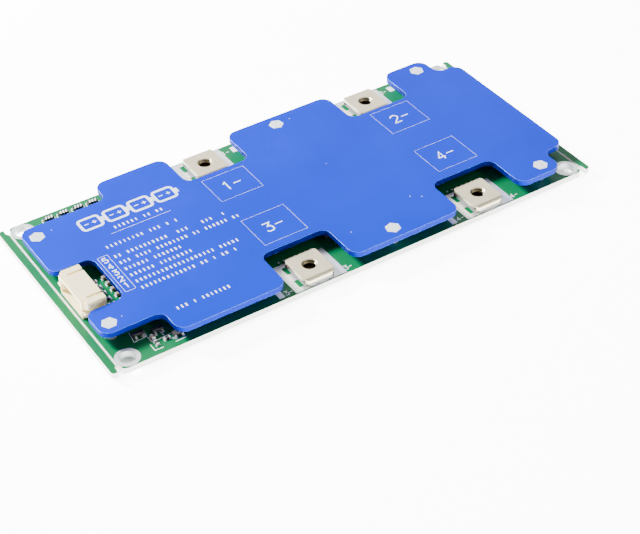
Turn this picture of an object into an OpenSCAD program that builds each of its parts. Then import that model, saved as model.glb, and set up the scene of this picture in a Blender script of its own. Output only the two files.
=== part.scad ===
// Battery management board: protection and cell balancing for a four-cell pack.
// A circuit board carries two rows of power transistors under a heat-spreading plate, four bent
// sheet-metal screw terminals and a side-entry connector for the balance leads.
// Origin: middle of the board in plan, at the level of the screw heads that it stands on.
// +X runs along the board, away from the connector; +Y runs to the charge terminals; +Z is up.

/* [Board] */
// Length of the board with its two break-off rails
board_l = 144; // [140:1:156]
// Width of the board
board_w = 64.5; // [63:0.5:74]
// Thickness of the laminate
board_t = 1.6; // [1:0.1:2.4]
// Corner radius of the board inside its rails
board_corner_r = 2.2; // [0.5:0.1:3]
// Width of each break-off rail
rail_w = 2.3; // [1.6:0.1:4]
// Corner radius at the rail ends
rail_corner_r = 0.9; // [0.3:0.1:1.2]
// Depth of each score line between board and rail
score_depth = 0.4; // [0.2:0.05:0.6]
// Width of each score line at the surface
score_w = 0.6; // [0.3:0.1:1]
// Width of the relief slot at each end of a rail
relief_w = 1.5; // [1:0.1:2]
// Depth of the relief slot
relief_depth = 2.3; // [1:0.1:3]

/* [Mounting holes] */
// Diameter of the corner mounting holes
hole_d = 4.3; // [3:0.1:4.6]
// Distance of a hole from the score line
hole_inset_x = 3.4; // [3.3:0.1:4.5]
// Distance of a hole from the long edge
hole_inset_y = 3.3; // [3.3:0.1:4.5]
// Outer diameter of the tinned ring round a hole
hole_ring_d = 6.4; // [5.2:0.1:6.6]
// Thickness of tinned copper on the laminate and in the holes
land_t = 0.06; // [0.03:0.01:0.1]

/* [Heat-spreading plate] */
// Thickness of the plate
plate_t = 1.5; // [1:0.1:3]
// Gap between the board and the plate
plate_gap = 2.6; // [2.5:0.1:4]
// Distance of the plate's ends inside the score lines
plate_margin_x = 0.3; // [0:0.1:2]
// Distance of the plate's long sides inside the board's edges
plate_margin_y = 0.55; // [0:0.05:1.5]
// Radius of the plate's outer corners
plate_corner_r = 3; // [1:0.25:4]
// Radius of the plate's inner corners
plate_inner_r = 2.5; // [1:0.25:3]
// Length of the cut-out at the back left corner
back_cut_l = 25.2; // [16:0.2:30]
// Depth of the cut-out at the back left corner
back_cut_d = 7.5; // [7:0.1:9]
// Length of the cut-out at the front left corner
front_cut_l = 15.9; // [12:0.1:24]
// Depth of the cut-out at the front left corner
front_cut_d = 8.2; // [7:0.1:9]
// Length of the cut-outs at the right corners
right_cut_l = 7.1; // [6.5:0.1:9]
// Depth of the cut-outs at the right corners
right_cut_d = 7.8; // [7:0.1:9]

/* [Clinched standoffs] */
// Distance of the left pair from the plate's end
left_stud_inset = 3.4; // [2.6:0.1:6]
// Distance of the left pair from the plate's long sides
left_stud_drop = 11.8; // [11:0.1:13]
// Distance of the other pairs from the plate's long sides
stud_inset = 3.7; // [2.6:0.1:5]
// Place of the middle pair along the board
mid_stud_x = 10.5; // [4:0.5:20]
// Distance of the right pair from the plate's end
right_stud_inset = 11.4; // [10:0.1:14]
// Width across flats of the hexagonal heads
stud_af = 3.6; // [3.2:0.1:4.4]
// Thickness of the hexagonal heads
stud_head_t = 1; // [0.5:0.1:1.2]
// Diameter of the standoff barrels
stud_barrel_d = 3.1; // [2.8:0.1:3.2]
// Diameter of the screws
screw_d = 2; // [1.6:0.1:2.2]
// Radial room round a screw in its standoff
screw_room = 0.04; // [0.02:0.01:0.1]
// Radial room round a screw in the board
screw_board_room = 0.2; // [0.1:0.05:0.4]
// Diameter of the screw heads
screw_head_d = 3.8; // [3.2:0.1:4.4]
// Height of the screw heads, which carry the board
screw_head_h = 1.3; // [1.2:0.1:2]
// Reach of a screw into its standoff
screw_reach = 2.2; // [1:0.1:2.8]

/* [Screw terminals] */
// Place of the left pair along the board
terminal_left_x = -13.5; // [-18:0.5:-12]
// Distance from the left pair to the right pair
terminal_pitch = 52.4; // [48:0.2:56]
// Width of a terminal along the board
terminal_w = 9.1; // [8:0.1:10]
// Depth of a terminal across the board
terminal_d = 10.6; // [9:0.1:11]
// Height of a terminal
terminal_h = 2; // [1.8:0.1:2.5]
// Thickness of the terminal's sheet metal
terminal_t = 0.9; // [0.6:0.1:1]
// Outer radius of the terminal's bends
terminal_bend_r = 0.95; // [0.5:0.05:1.2]
// Corner radius of a terminal in plan
terminal_corner_r = 1.6; // [0.5:0.1:2]
// Radius of the relief notches at the ends of the bends
relief_r = 0.3; // [0.1:0.05:0.4]
// Reach of a relief notch into the side of a terminal
relief_l = 0.9; // [0.7:0.1:1.5]
// Distance of a terminal's outer leg from the board's edge
terminal_edge_gap = 0.85; // [0.6:0.05:1.2]
// Core diameter of the terminal's screw thread
thread_core_d = 3.3; // [3:0.1:3.6]
// Depth of the countersink at the mouth of the thread
thread_sink = 0.4; // [0.2:0.1:0.5]
// Outer diameter of the drawn collar that holds the thread
collar_d = 5.6; // [5:0.1:6.4]
// Length of the collar below the sheet
collar_l = 0.7; // [0.4:0.1:0.8]
// Diameter of the hole in the board that a long screw passes
tip_hole_d = 4.4; // [4:0.1:4.8]
// Room in the plate's notch on each side of a terminal
notch_room_x = 5.2; // [4:0.1:5.5]
// Room in the plate's notch behind a terminal
notch_room_y = 2.3; // [1:0.1:3]
// Reach of the tinned land beyond each side of a terminal
land_reach = 2.9; // [2:0.1:3.4]
// Margin of the tinned land round a terminal's legs
land_margin = 0.45; // [0.3:0.05:0.6]
// Width of the two windows in the land
window_w = 1.3; // [0.8:0.1:1.6]
// Length of the two windows in the land
window_l = 2.9; // [2:0.1:3.2]

/* [Balance connector] */
// Number of contacts
contacts = 5; // [3:1:6]
// Distance between contacts
contact_pitch = 2.5; // [2:0.5:2.5]
// Width of the contact pins
pin_w = 0.64; // [0.5:0.01:0.7]
// Length of housing beyond the outer contacts, both ends together
housing_extra = 4.9; // [4.6:0.1:6]
// Length of the mouth beyond the outer contacts, both ends together
mouth_extra = 1.9; // [1.8:0.1:3]
// Depth of the housing from mouth to back
housing_d = 6.2; // [5.8:0.1:7.5]
// Height of the housing
housing_h = 5.5; // [5.4:0.1:7]
// Thickness of the housing's floor and back wall
housing_wall = 0.8; // [0.6:0.05:1]
// Thickness of the housing's top wall
roof_t = 0.65; // [0.6:0.05:0.8]
// Thickness of the side walls at the mouth
mouth_wall = 0.45; // [0.3:0.05:0.5]
// Distance of the mouth inside the score line
housing_setback = 0.75; // [0:0.05:1]
// Place of the connector across the board
housing_y = -4.95; // [-6:0.05:0]
// Length of the closed pin bay behind the cavity
pin_bay = 1.3; // [1.1:0.1:1.6]
// Width of the keyway grooves in the top wall
keyway_w = 0.7; // [0.5:0.1:1]
// Depth of the keyway grooves
keyway_depth = 0.5; // [0.3:0.05:0.55]
// Distance of a keyway from the end of the housing
keyway_inset = 2.3; // [2:0.1:2.6]
// Distance of the keyways from the mouth
keyway_start = 2.1; // [1.5:0.1:3]
// Height of the wings along both ends of the top
wing_t = 2.2; // [1.6:0.1:2.4]
// Cut across a wing's corner at the mouth
wing_cut = 1.2; // [0.8:0.1:1.3]
// Height of the ledge below a wing, above the base
ledge_z = 2; // [1:0.1:2.2]
// Thickness of the ledge
ledge_t = 0.5; // [0.3:0.05:0.7]
// Length of the pin tails below the board
tail_l = 1; // [0.6:0.1:1.1]
// Clearance round the housing in the plate's bay, half of what both ends share
housing_room = 1.6; // [1:0.1:2.5]
// Distance of the bay's middle behind the connector's middle
bay_shift = 0.35; // [-0.5:0.05:0.5]
// Distance from the housing's back to the plate
housing_rear_room = 4.45; // [2:0.05:5.5]

/* [Power transistors] */
// Transistors in each row
fet_count = 12; // [8:1:13]
// Distance between transistors
fet_pitch = 8; // [7.4:0.1:8]
// Middle of the rows along the board
fet_mid_x = 8; // [6:0.5:10]
// Distance of the tabs' ends from the board's centre line
fet_gap = 1.6; // [1:0.1:2.5]
// Width of a transistor body
fet_w = 6.6; // [6:0.1:6.8]
// Length of a transistor body
fet_l = 6.1; // [5.6:0.1:6.4]
// Height of a transistor
fet_h = 2.3; // [2:0.05:2.35]
// Thickness of a transistor's lead frame
fet_frame_t = 0.5; // [0.4:0.05:0.6]
// Reach of the drain tab beyond the body
fet_tab_l = 1.2; // [0.8:0.1:1.6]
// Reach of the leads beyond the body
fet_lead_l = 2.7; // [2:0.1:3]

/* [Small parts] */
// Distance between the balance transistors
balance_pitch = 4.25; // [3.8:0.05:4.6]
// Distance of the first balance transistor from the score line
balance_inset_x = 11.1; // [10.5:0.1:12]
// Distance of the balance transistors from the long edge
balance_inset_y = 2.8; // [2.2:0.1:3.4]
// Current shunts between the rows and the battery terminals
shunts = 4; // [2:1:6]

/* [Hidden] */

$fn = 48;
// Cutters reach this far past the faces that they cut
eps = 0.5;
// Straight pieces in each rounded corner
corner_steps = 8;

// Levels, from the screw heads up
board_z = screw_head_h;
top_z = board_z + board_t;
plate_z = top_z + plate_gap;
plate_top_z = plate_z + plate_t;

// Half sizes of the board and plate
score_x = board_l / 2 - rail_w;
edge_y = board_w / 2;
plate_x = score_x - plate_margin_x;
plate_y = edge_y - plate_margin_y;

// Places of the corner holes, standoffs and terminals
holes = [for (sx = [-1, 1], sy = [-1, 1]) [sx * (score_x - hole_inset_x), sy * (edge_y - hole_inset_y)]];
studs = [for (sy = [-1, 1]) each [
    [left_stud_inset - plate_x, sy * (plate_y - left_stud_drop)],
    [mid_stud_x, sy * (plate_y - stud_inset)],
    [plate_x - right_stud_inset, sy * (plate_y - stud_inset)]
]];
stud_turns = [0, 17, -12, 24, -20, 8];
terminal_xs = [terminal_left_x, terminal_left_x + terminal_pitch];
terminal_y = edge_y - terminal_edge_gap - terminal_d / 2;
terminal_z = top_z + land_t;
notch_x = terminal_w / 2 + notch_room_x;
notch_y = terminal_y - terminal_d / 2 - notch_room_y;
stud_bore_d = screw_d + 2 * screw_room;

// Connector housing and its contacts
contact_span = (contacts - 1) * contact_pitch;
housing_w = contact_span + housing_extra;
mouth_w = contact_span + mouth_extra;
bay_y = housing_y + bay_shift;
mouth_x = housing_setback - score_x;
housing_back_x = mouth_x + housing_d;
cavity_d = housing_d - pin_bay - housing_wall;
contact_ys = [for (i = [0 : contacts - 1]) (i - (contacts - 1) / 2) * contact_pitch];
pin_axis_z = housing_h / 2;
pin_leg_x = housing_d - pin_bay / 2;
pin_tip_x = 1.2;
// The round hole clears the corners of the square pin
pin_hole_d = pin_w * sqrt(2) + 0.1;

// Transistor rows
fet_xs = [for (i = [0 : fet_count - 1]) fet_mid_x + (i - (fet_count - 1) / 2) * fet_pitch];
fet_y = fet_gap + fet_tab_l + fet_l / 2;
fet_lead_w = 0.8;
fet_lead_pitch = 4.56;
fet_lead_exit = 1;
thermal_pad_margin = 0.4;

// Small outline transistors, length x width x height
sot_size = [2.9, 1.3, 1];
sot_standoff = 0.1;
sot_lead = [0.42, 0.12, 0.55];
sot_lead_pitch = 1.9;
sot_lead_exit = 0.5;
balance_xs = [for (i = [0 : 3]) balance_inset_x - score_x + i * balance_pitch];
balance_y = edge_y - balance_inset_y;
balance_resistor_drop = 8.6;
balance_resistor_y = balance_y - balance_resistor_drop;
front_window_y = front_cut_d - plate_y;
// Spots beside the front left hole: from the score line, from the window's edge, and the turn
gate_spots = [[9.2, 0, 0], [13.8, 1.2, 0], [17.3, 4.9, 0]];
resistor_spots = [[11.5, 5, 90], [14.4, 4.9, 0]];
capacitor_spots = [[11.5, 3, 90]];
gate_places = window_places(gate_spots);
function window_places(spots) = [for (s = spots) [s[0] - score_x, front_window_y - s[1], s[2]]];

// Chip parts, length x width x height, and the length of their tinned ends
balance_chip = [3.2, 6.3, 0.6];
shunt_chip = [6.3, 3.2, 0.9];
small_chip = [0.8, 1.6, 0.5];
capacitor_chip = [0.8, 1.6, 0.8];
balance_chip_end = 0.6;
shunt_end = 1.1;
small_end = 0.35;
shunt_pitch = 7.2;
shunt_y = -(notch_y - shunt_chip[1] / 2 - 0.6);
shunt_xs = [for (i = [0 : shunts - 1]) mid_stud_x + (i - (shunts - 1) / 2) * shunt_pitch];
// Distances of the two columns of chips from the back of the connector
resistor_column = 2.3;
capacitor_column = 5.3;
sense_places = concat(connector_places(resistor_column), window_places(resistor_spots));
capacitor_places = concat(connector_places(capacitor_column), window_places(capacitor_spots));
function connector_places(column) = [for (y = contact_ys) [housing_back_x + column, housing_y + y, 0]];

// Protection chip, length x width x height
chip_size = [3.9, 9.9, 1.5];
chip_leads = 8;
chip_lead_pitch = 1.27;
chip_lead = [0.42, 0.2, 1.05];
chip_inset_x = 20.5;
chip_place = [chip_inset_x - score_x, housing_y];
chip_standoff = 0.15;
chip_lead_exit = 0.8;

// Outline through [x, y, r] corners, listed anticlockwise, with each corner rounded to its r
function rounded(corners) = let (n = len(corners)) [
    for (i = [0 : n - 1]) each corner_arc(corners[(i + n - 1) % n], corners[i], corners[(i + 1) % n])
];
function corner_arc(before, here, after) = let (
    p = [here[0], here[1]],
    u = unit([before[0], before[1]] - p),
    v = unit([after[0], after[1]] - p),
    half = acos(u * v) / 2,
    centre = p + unit(u + v) * here[2] / sin(half),
    from = p + u * here[2] / tan(half) - centre,
    start = atan2(from[1], from[0]),
    turn = (cross(u, v) < 0 ? 1 : -1) * (180 - 2 * half)
) here[2] == 0 ? [p] : [
    for (k = [0 : corner_steps]) centre
        + here[2] * [cos(start + turn * k / corner_steps), sin(start + turn * k / corner_steps)]
];
function unit(v) = v / norm(v);
function rectangle(x, y, r) = rounded([[-x, -y, r], [x, -y, r], [x, y, r], [-x, y, r]]);

// A block centred in plan, standing on z
module block(size, z = 0) {
    translate([-size[0] / 2, -size[1] / 2, z]) cube(size);
}

// Extrudes a side view, drawn in Y and Z, to a width centred on X
module side_view(width) {
    rotate([90, 0, 90]) translate([0, 0, -width / 2]) linear_extrude(width) children();
}

// Board with its rails, relief slots and score lines
module board_outline() {
    difference() {
        union() {
            polygon(rectangle(score_x, edge_y, board_corner_r));
            for (s = [-1, 1]) translate([s * (board_l / 2 - (rail_w + relief_w / 2) / 2), 0])
                polygon(rectangle((rail_w + relief_w / 2) / 2, edge_y, rail_corner_r));
        }
        for (sx = [-1, 1], sy = [-1, 1])
            translate([sx * score_x, sy * (edge_y - relief_depth + relief_w / 2)]) {
                circle(d = relief_w);
                translate([-relief_w / 2, sy > 0 ? 0 : -relief_depth]) square([relief_w, relief_depth]);
            }
    }
}

module score_line() {
    rotate([90, 0, 0]) translate([0, 0, -edge_y - eps]) linear_extrude(board_w + 2 * eps)
        polygon([[-score_w, score_depth], [-score_w / 2, 0], [0, -score_depth], [score_w / 2, 0],
            [score_w, score_depth]]);
}

module pcb() {
    color("seagreen") difference() {
        translate([0, 0, board_z]) linear_extrude(board_t) board_outline();
        for (s = [-1, 1]) {
            translate([s * score_x, 0, top_z]) score_line();
            translate([s * score_x, 0, board_z]) mirror([0, 0, 1]) score_line();
        }
        translate([0, 0, board_z - eps]) {
            for (p = holes) translate(p) cylinder(d = hole_d + 2 * land_t, h = board_t + 2 * eps);
            for (p = studs) translate(p) cylinder(d = screw_d + 2 * screw_board_room, h = board_t + 2 * eps);
            for (x = terminal_xs, s = [-1, 1]) translate([x, s * terminal_y])
                cylinder(d = tip_hole_d, h = board_t + 2 * eps);
            for (y = contact_ys) translate([mouth_x + pin_leg_x, housing_y + y])
                cylinder(d = pin_hole_d, h = board_t + 2 * eps);
        }
    }
}

// Plated linings of the mounting holes, each with a tinned ring on both faces
module mount_rings() {
    color("gainsboro") for (p = holes) translate([p[0], p[1], board_z - land_t]) difference() {
        union() {
            cylinder(d = hole_d + 2 * land_t, h = board_t + 2 * land_t);
            for (z = [0, board_t + land_t]) translate([0, 0, z]) cylinder(d = hole_ring_d, h = land_t);
        }
        translate([0, 0, -eps]) cylinder(d = hole_d, h = board_t + 2 * (land_t + eps));
    }
}

// Tinned land of one terminal: a field with two windows beside the terminal's left side
module terminal_land() {
    land_x = terminal_w / 2 + land_reach;
    land_y = terminal_d / 2 + land_margin;
    linear_extrude(land_t) difference() {
        translate([-land_x, -land_y]) square([2 * land_x, 2 * land_y]);
        circle(d = tip_hole_d);
        for (s = [-1, 1]) translate([-terminal_w / 2 - window_w / 2 + 0.2, s * land_y / 2])
            translate([-window_w / 2, -window_l / 2]) square([window_w, window_l]);
    }
}

module terminal_lands() {
    color("gainsboro") for (x = terminal_xs, s = [-1, 1])
        translate([x, s * terminal_y, top_z]) terminal_land();
}

// One notch of the plate's outline, open to the long side at y, listed from left to right
function notch(x, y, inner) = [
    [x - notch_x, y, plate_corner_r], [x - notch_x, inner, plate_inner_r],
    [x + notch_x, inner, plate_inner_r], [x + notch_x, y, plate_corner_r]
];
function backwards(list) = [for (i = [len(list) - 1 : -1 : 0]) list[i]];

module plate_outline() {
    side_y = housing_w / 2 + housing_room;
    rear_x = housing_back_x + housing_rear_room;
    polygon(rounded(concat(
        [
            [-plate_x, front_cut_d - plate_y, plate_corner_r],
            [front_cut_l - plate_x, front_cut_d - plate_y, plate_inner_r],
            [front_cut_l - plate_x, -plate_y, plate_corner_r]
        ],
        notch(terminal_xs[0], -plate_y, -notch_y),
        notch(terminal_xs[1], -plate_y, -notch_y),
        [
            [plate_x - right_cut_l, -plate_y, plate_corner_r],
            [plate_x - right_cut_l, right_cut_d - plate_y, plate_inner_r],
            [plate_x, right_cut_d - plate_y, plate_corner_r],
            [plate_x, plate_y - right_cut_d, plate_corner_r],
            [plate_x - right_cut_l, plate_y - right_cut_d, plate_inner_r],
            [plate_x - right_cut_l, plate_y, plate_corner_r]
        ],
        backwards(notch(terminal_xs[1], plate_y, notch_y)),
        backwards(notch(terminal_xs[0], plate_y, notch_y)),
        [
            [back_cut_l - plate_x, plate_y, plate_corner_r],
            [back_cut_l - plate_x, plate_y - back_cut_d, plate_inner_r],
            [-plate_x, plate_y - back_cut_d, plate_corner_r],
            [-plate_x, bay_y + side_y, plate_inner_r],
            [rear_x, bay_y + side_y, plate_inner_r],
            [rear_x, bay_y - side_y, plate_inner_r],
            [-plate_x, bay_y - side_y, plate_inner_r]
        ]
    )));
}

// Hexagonal prism across flats
module hexagon(af, h) {
    cylinder(d = af / cos(30), h = h, $fn = 6);
}

module heat_plate() {
    color("dodgerblue") difference() {
        translate([0, 0, plate_z]) linear_extrude(plate_t) plate_outline();
        for (i = [0 : len(studs) - 1]) translate(studs[i]) rotate([0, 0, stud_turns[i]]) {
            translate([0, 0, plate_z - eps]) cylinder(d = stud_barrel_d, h = plate_t + eps);
            translate([0, 0, plate_top_z - stud_head_t]) hexagon(stud_af, stud_head_t + eps);
        }
    }
}

// Blind standoffs: the head is clinched flush into the plate, the barrel stands on the board
module standoffs() {
    color("silver") for (i = [0 : len(studs) - 1]) translate(studs[i]) rotate([0, 0, stud_turns[i]])
        difference() {
            union() {
                translate([0, 0, top_z]) cylinder(d = stud_barrel_d, h = plate_gap + plate_t - stud_head_t);
                translate([0, 0, plate_top_z - stud_head_t]) hexagon(stud_af, stud_head_t);
            }
            translate([0, 0, top_z - eps]) cylinder(d = stud_bore_d, h = screw_reach + 0.3 + eps);
        }
}

// Pan-head screws with a cross recess, put in from below
module standoff_screws() {
    recess_l = screw_head_d * 0.55;
    recess_w = screw_head_d * 0.14;
    color("silver") for (p = studs) translate([p[0], p[1], 0]) difference() {
        union() {
            cylinder(d1 = screw_head_d - 0.5, d2 = screw_head_d, h = 0.3);
            translate([0, 0, 0.3]) cylinder(d = screw_head_d, h = screw_head_h - 0.3);
            translate([0, 0, screw_head_h]) cylinder(d = screw_d, h = board_t + screw_reach);
        }
        for (a = [0, 90]) rotate([0, 0, a]) block([recess_l, recess_w, 0.7 + eps], -eps);
    }
}

// Compressible pad that fills the gap between one row's bodies and the plate
module thermal_pad(side) {
    pad_l = fet_xs[fet_count - 1] - fet_xs[0] + fet_w - 2 * thermal_pad_margin;
    color("lightsteelblue") translate([fet_mid_x, side * fet_y])
        block([pad_l, fet_l - 2 * thermal_pad_margin, plate_gap - fet_h], top_z + fet_h);
}

module thermal_pad_back() { thermal_pad(1); }
module thermal_pad_front() { thermal_pad(-1); }

// Gull-wing lead of size [width, thickness, reach], leaving a body at a height and running to +Y
module gull_lead(size, exit_z) {
    t = size[1];
    knee = size[2] * 0.3;
    ankle = size[2] * 0.5;
    side_view(size[0]) polygon([
        [0, exit_z], [knee, exit_z], [ankle, 0], [size[2], 0],
        [size[2], t], [ankle + t * 0.7, t], [knee + t * 0.7, exit_z + t], [0, exit_z + t]
    ]);
}

// Moulded body with drafted sides, of size [along X, along Y, height]
module moulded_body(size, z) {
    draft = size[2] * 0.12;
    belt = size[2] * 0.45;
    translate([0, 0, z]) intersection() {
        side_view(size[0]) polygon([
            [draft - size[1] / 2, 0], [size[1] / 2 - draft, 0], [size[1] / 2, belt],
            [size[1] / 2 - draft, size[2]], [draft - size[1] / 2, size[2]], [-size[1] / 2, belt]
        ]);
        rotate([0, 0, 90]) side_view(size[1]) polygon([
            [draft - size[0] / 2, 0], [size[0] / 2 - draft, 0], [size[0] / 2, belt],
            [size[0] / 2 - draft, size[2]], [draft - size[0] / 2, size[2]], [-size[0] / 2, belt]
        ]);
    }
}

// Places a row's transistors with their tabs to the centre line
module fet_row(side) {
    for (x = fet_xs) translate([x, side * fet_y, top_z]) rotate([0, 0, side > 0 ? 0 : 180]) children();
}

module fet_body() {
    color("dimgray") moulded_body([fet_w, fet_l, fet_h - fet_frame_t], fet_frame_t);
}

module fet_frame() {
    tab_w = fet_w - 1.3;
    lead_z = fet_lead_exit;
    lead = [fet_lead_w, fet_frame_t, fet_lead_l];
    color("silver") {
        translate([-tab_w / 2, -fet_l / 2 - fet_tab_l, 0])
            cube([tab_w, fet_l + fet_tab_l - 0.6, fet_frame_t]);
        for (s = [-1, 1]) translate([s * fet_lead_pitch / 2, fet_l / 2, 0]) gull_lead(lead, lead_z);
    }
}

module fet_bodies_back() { fet_row(1) fet_body(); }
module fet_frames_back() { fet_row(1) fet_frame(); }
module fet_bodies_front() { fet_row(-1) fet_body(); }
module fet_frames_front() { fet_row(-1) fet_frame(); }

// Metal-strip shunts: one raised bridge between two feet
module current_shunts() {
    foot = shunt_end;
    color("darkgray") for (x = shunt_xs) translate([x, shunt_y, top_z])
        rotate([0, 0, 90]) side_view(shunt_chip[1]) difference() {
            translate([-shunt_chip[0] / 2, 0]) square([shunt_chip[0], shunt_chip[2]]);
            translate([foot - shunt_chip[0] / 2, -eps]) square([shunt_chip[0] - 2 * foot, 0.25 + eps]);
        }
}

// Side view of the bent strip: a flat top and two legs
module terminal_section() {
    half = terminal_d / 2;
    inner = half - terminal_t;
    difference() {
        polygon(rounded([[-half, 0, 0], [half, 0, 0], [half, terminal_h, terminal_bend_r],
            [-half, terminal_h, terminal_bend_r]]));
        polygon(rounded([[-inner, -eps, 0], [inner, -eps, 0], [inner, terminal_h - terminal_t, 0.15],
            [-inner, terminal_h - terminal_t, 0.15]]));
    }
}

// One screw terminal: bent strip with relief notches, drawn collar and tapped hole
module terminal(x, side) {
    sheet_z = terminal_h - terminal_t;
    color("lightgray") translate([x, side * terminal_y, terminal_z]) difference() {
        union() {
            intersection() {
                side_view(terminal_w) terminal_section();
                linear_extrude(terminal_h)
                    polygon(rectangle(terminal_w / 2, terminal_d / 2, terminal_corner_r));
            }
            translate([0, 0, sheet_z - collar_l]) cylinder(d = collar_d, h = collar_l + terminal_t / 2);
        }
        translate([0, 0, sheet_z - collar_l - eps]) cylinder(d = thread_core_d, h = terminal_h + eps);
        translate([0, 0, terminal_h - thread_sink])
            cylinder(d1 = thread_core_d, d2 = thread_core_d + 2 * thread_sink, h = thread_sink);
        for (s = [0, 180], t = [-1, 1]) rotate([0, 0, s])
            translate([terminal_w / 2 - relief_l, t * (terminal_d / 2 - terminal_t), sheet_z])
                rotate([0, 90, 0]) cylinder(r = relief_r, h = relief_l + eps);
    }
}

module terminal_back_left() { terminal(terminal_xs[0], 1); }
module terminal_back_right() { terminal(terminal_xs[1], 1); }
module terminal_front_left() { terminal(terminal_xs[0], -1); }
module terminal_front_right() { terminal(terminal_xs[1], -1); }

// Plan of the housing's wings, with both corners at the mouth cut off
module wing_plan() {
    half = housing_w / 2;
    polygon([
        [0, wing_cut - half], [wing_cut, -half], [housing_d, -half],
        [housing_d, half], [wing_cut, half], [0, half - wing_cut]
    ]);
}

// Body as wide as the mouth, with a ledge at half height and wings at the top
module housing_blank() {
    translate([0, -mouth_w / 2, 0]) cube([housing_d, mouth_w, housing_h]);
    translate([0, -housing_w / 2, ledge_z]) cube([housing_d, housing_w, ledge_t]);
    translate([0, 0, housing_h - wing_t]) linear_extrude(wing_t) wing_plan();
}

// Housing of the side-entry connector, drawn with its mouth at x = 0 and its base at z = 0
module housing_shape() {
    cavity = [cavity_d, mouth_w - 2 * mouth_wall, housing_h - housing_wall - roof_t];
    // Slot beside the mouth that frees the tip of a wing, and a notch in the wing's side
    tip_slot = [1.1, 0.6];
    side_notch = [0.4, 0.5, 0.6];
    difference() {
        housing_blank();
        translate([-eps, -cavity[1] / 2, housing_wall]) cube([cavity[0] + eps, cavity[1], cavity[2]]);
        for (s = [0, 1]) mirror([0, s, 0]) {
            translate([keyway_start, housing_w / 2 - keyway_inset - keyway_w / 2, housing_h - keyway_depth])
                cube([housing_d, keyway_w, keyway_depth + eps]);
            translate([-eps, housing_w / 2 - wing_cut, housing_h - wing_t - eps])
                cube([tip_slot[0] + eps, tip_slot[1], wing_t + 2 * eps]);
            translate([keyway_start, housing_w / 2 - side_notch[1], housing_h - roof_t - side_notch[2]])
                cube([side_notch[0], side_notch[1] + eps, side_notch[2]]);
        }
        for (y = contact_ys) {
            translate([cavity_d - eps, y - pin_w / 2, pin_axis_z - pin_w / 2])
                cube([housing_wall + 2 * eps, pin_w, pin_w]);
            translate([housing_d - pin_bay, y - pin_w / 2, -eps])
                cube([pin_bay + eps, pin_w, pin_axis_z + pin_w / 2 + eps]);
        }
    }
}

module connector_housing() {
    color("ivory") translate([mouth_x, housing_y, top_z]) housing_shape();
}

// Square pins bent down behind the cavity and through the board
module connector_pins() {
    half = pin_w / 2;
    tail_z = -board_t - tail_l;
    color("silver") for (y = contact_ys)
        translate([mouth_x, housing_y + y, top_z]) rotate([0, 0, -90]) side_view(pin_w) polygon(rounded([
            [pin_leg_x - half, tail_z, 0], [pin_leg_x + half, tail_z, 0],
            [pin_leg_x + half, pin_axis_z + half, 0.3], [pin_tip_x, pin_axis_z + half, 0],
            [pin_tip_x, pin_axis_z - half, 0], [pin_leg_x - half, pin_axis_z - half, 0]
        ]));
}

// Solder cones round the pin tails
module pin_solder() {
    color("gainsboro") for (y = contact_ys)
        translate([mouth_x + pin_leg_x, housing_y + y, board_z]) mirror([0, 0, 1]) difference() {
            cylinder(d1 = 1.9, d2 = 1.05, h = tail_l * 0.7);
            block([pin_w, pin_w, tail_l + 2 * eps], -eps);
        }
}

module protection_chip() {
    color("dimgray") translate([chip_place[0], chip_place[1], top_z])
        moulded_body(chip_size, chip_standoff);
}

module protection_chip_leads() {
    color("silver") translate([chip_place[0], chip_place[1], top_z])
        for (side = [0, 180], i = [0 : chip_leads - 1]) rotate([0, 0, side])
            translate([chip_size[0] / 2, (i - (chip_leads - 1) / 2) * chip_lead_pitch, 0])
                rotate([0, 0, -90]) gull_lead(chip_lead, chip_lead_exit);
}

// Small outline transistor: one lead to +Y, two to -Y
module sot_body() {
    color("dimgray") moulded_body(sot_size, sot_standoff);
}

module sot_leads() {
    color("silver") {
        translate([0, sot_size[1] / 2, 0]) gull_lead(sot_lead, sot_lead_exit);
        rotate([0, 0, 180]) for (s = [-1, 1]) translate([s * sot_lead_pitch / 2, sot_size[1] / 2, 0])
            gull_lead(sot_lead, sot_lead_exit);
    }
}

module balance_transistors() {
    for (x = balance_xs) translate([x, balance_y, top_z]) sot_body();
}

module balance_transistor_leads() {
    for (x = balance_xs) translate([x, balance_y, top_z]) sot_leads();
}

module gate_transistors() {
    for (p = gate_places) translate([p[0], p[1], top_z]) sot_body();
}

module gate_transistor_leads() {
    for (p = gate_places) translate([p[0], p[1], top_z]) sot_leads();
}

// Chip part of size [across, along, height] with tinned ends of length end
module chip_body(size, end) {
    block([size[0], size[1] - 2 * end, size[2]]);
}

module chip_ends(size, end) {
    for (s = [-1, 1]) translate([0, s * (size[1] - end) / 2, 0]) block([size[0], end, size[2]]);
}

module balance_resistors() {
    color("dimgray") for (x = balance_xs) translate([x, balance_resistor_y, top_z])
        chip_body(balance_chip, balance_chip_end);
}

module balance_resistor_ends() {
    color("silver") for (x = balance_xs) translate([x, balance_resistor_y, top_z])
        chip_ends(balance_chip, balance_chip_end);
}

module sense_resistors() {
    color("dimgray") for (p = sense_places) translate([p[0], p[1], top_z]) rotate([0, 0, 90 - p[2]])
        chip_body(small_chip, small_end);
}

module sense_resistor_ends() {
    color("silver") for (p = sense_places) translate([p[0], p[1], top_z]) rotate([0, 0, 90 - p[2]])
        chip_ends(small_chip, small_end);
}

module sense_capacitors() {
    color("burlywood") for (p = capacitor_places) translate([p[0], p[1], top_z]) rotate([0, 0, 90 - p[2]])
        chip_body(capacitor_chip, small_end);
}

module sense_capacitor_ends() {
    color("silver") for (p = capacitor_places) translate([p[0], p[1], top_z]) rotate([0, 0, 90 - p[2]])
        chip_ends(capacitor_chip, small_end);
}

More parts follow.
